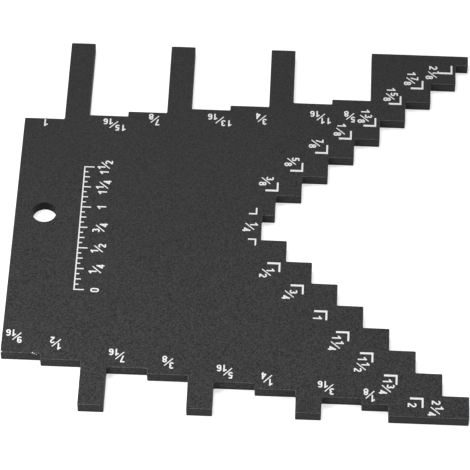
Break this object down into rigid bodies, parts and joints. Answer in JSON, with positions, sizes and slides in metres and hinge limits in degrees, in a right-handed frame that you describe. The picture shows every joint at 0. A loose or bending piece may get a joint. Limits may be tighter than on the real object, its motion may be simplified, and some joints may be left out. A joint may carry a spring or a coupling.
{
  "type": "table saw height gauge",
  "caption": "Flat stepped plate gauge with a V of treads between two arms and combs of feet and shelves, for setting saw blade height and router bit depth.",
  "frame": {"origin": "middle of the plate's box, on its unmarked underside", "axes": "+Z out of the marked face, +Y towards the long feet, +X towards the tips of the two arms"},
  "size_m": [0.1116, 0.1124, 0.003],
  "materials": {
    "anodised_black": "fine blasted and matt anodised",
    "white_print": "matt printed ink"
  },
  "bodies": {
    "root": {"gauge_plate": "anodised_black", "shelf_label_1": "white_print", "shelf_label_15_16": "white_print", "shelf_label_7_8": "white_print", "shelf_label_13_16": "white_print", "shelf_label_3_4": "white_print", "shelf_label_11_16": "white_print", "shelf_label_5_8": "white_print", "shelf_label_9_16": "white_print", "shelf_label_1_2": "white_print", "shelf_label_7_16": "white_print", "shelf_label_3_8": "white_print", "shelf_label_5_16": "white_print", "shelf_label_1_4": "white_print", "shelf_label_3_16": "white_print", "shelf_label_1_8": "white_print", "step_label_1_4": "white_print", "step_label_3_8": "white_print", "step_label_5_8": "white_print", "step_label_7_8": "white_print", "step_label_1_1_8": "white_print", "step_label_1_3_8": "white_print", "step_label_1_5_8": "white_print", "step_label_1_7_8": "white_print", "step_label_2_1_8": "white_print", "step_label_1_2": "white_print", "step_label_3_4": "white_print", "step_label_1": "white_print", "step_label_1_1_4": "white_print", "step_label_1_1_2": "white_print", "step_label_1_3_4": "white_print", "step_label_2": "white_print", "step_label_2_1_4": "white_print", "rule_ticks": "white_print", "rule_numbers": "white_print"}
  },
  "joints": []
}
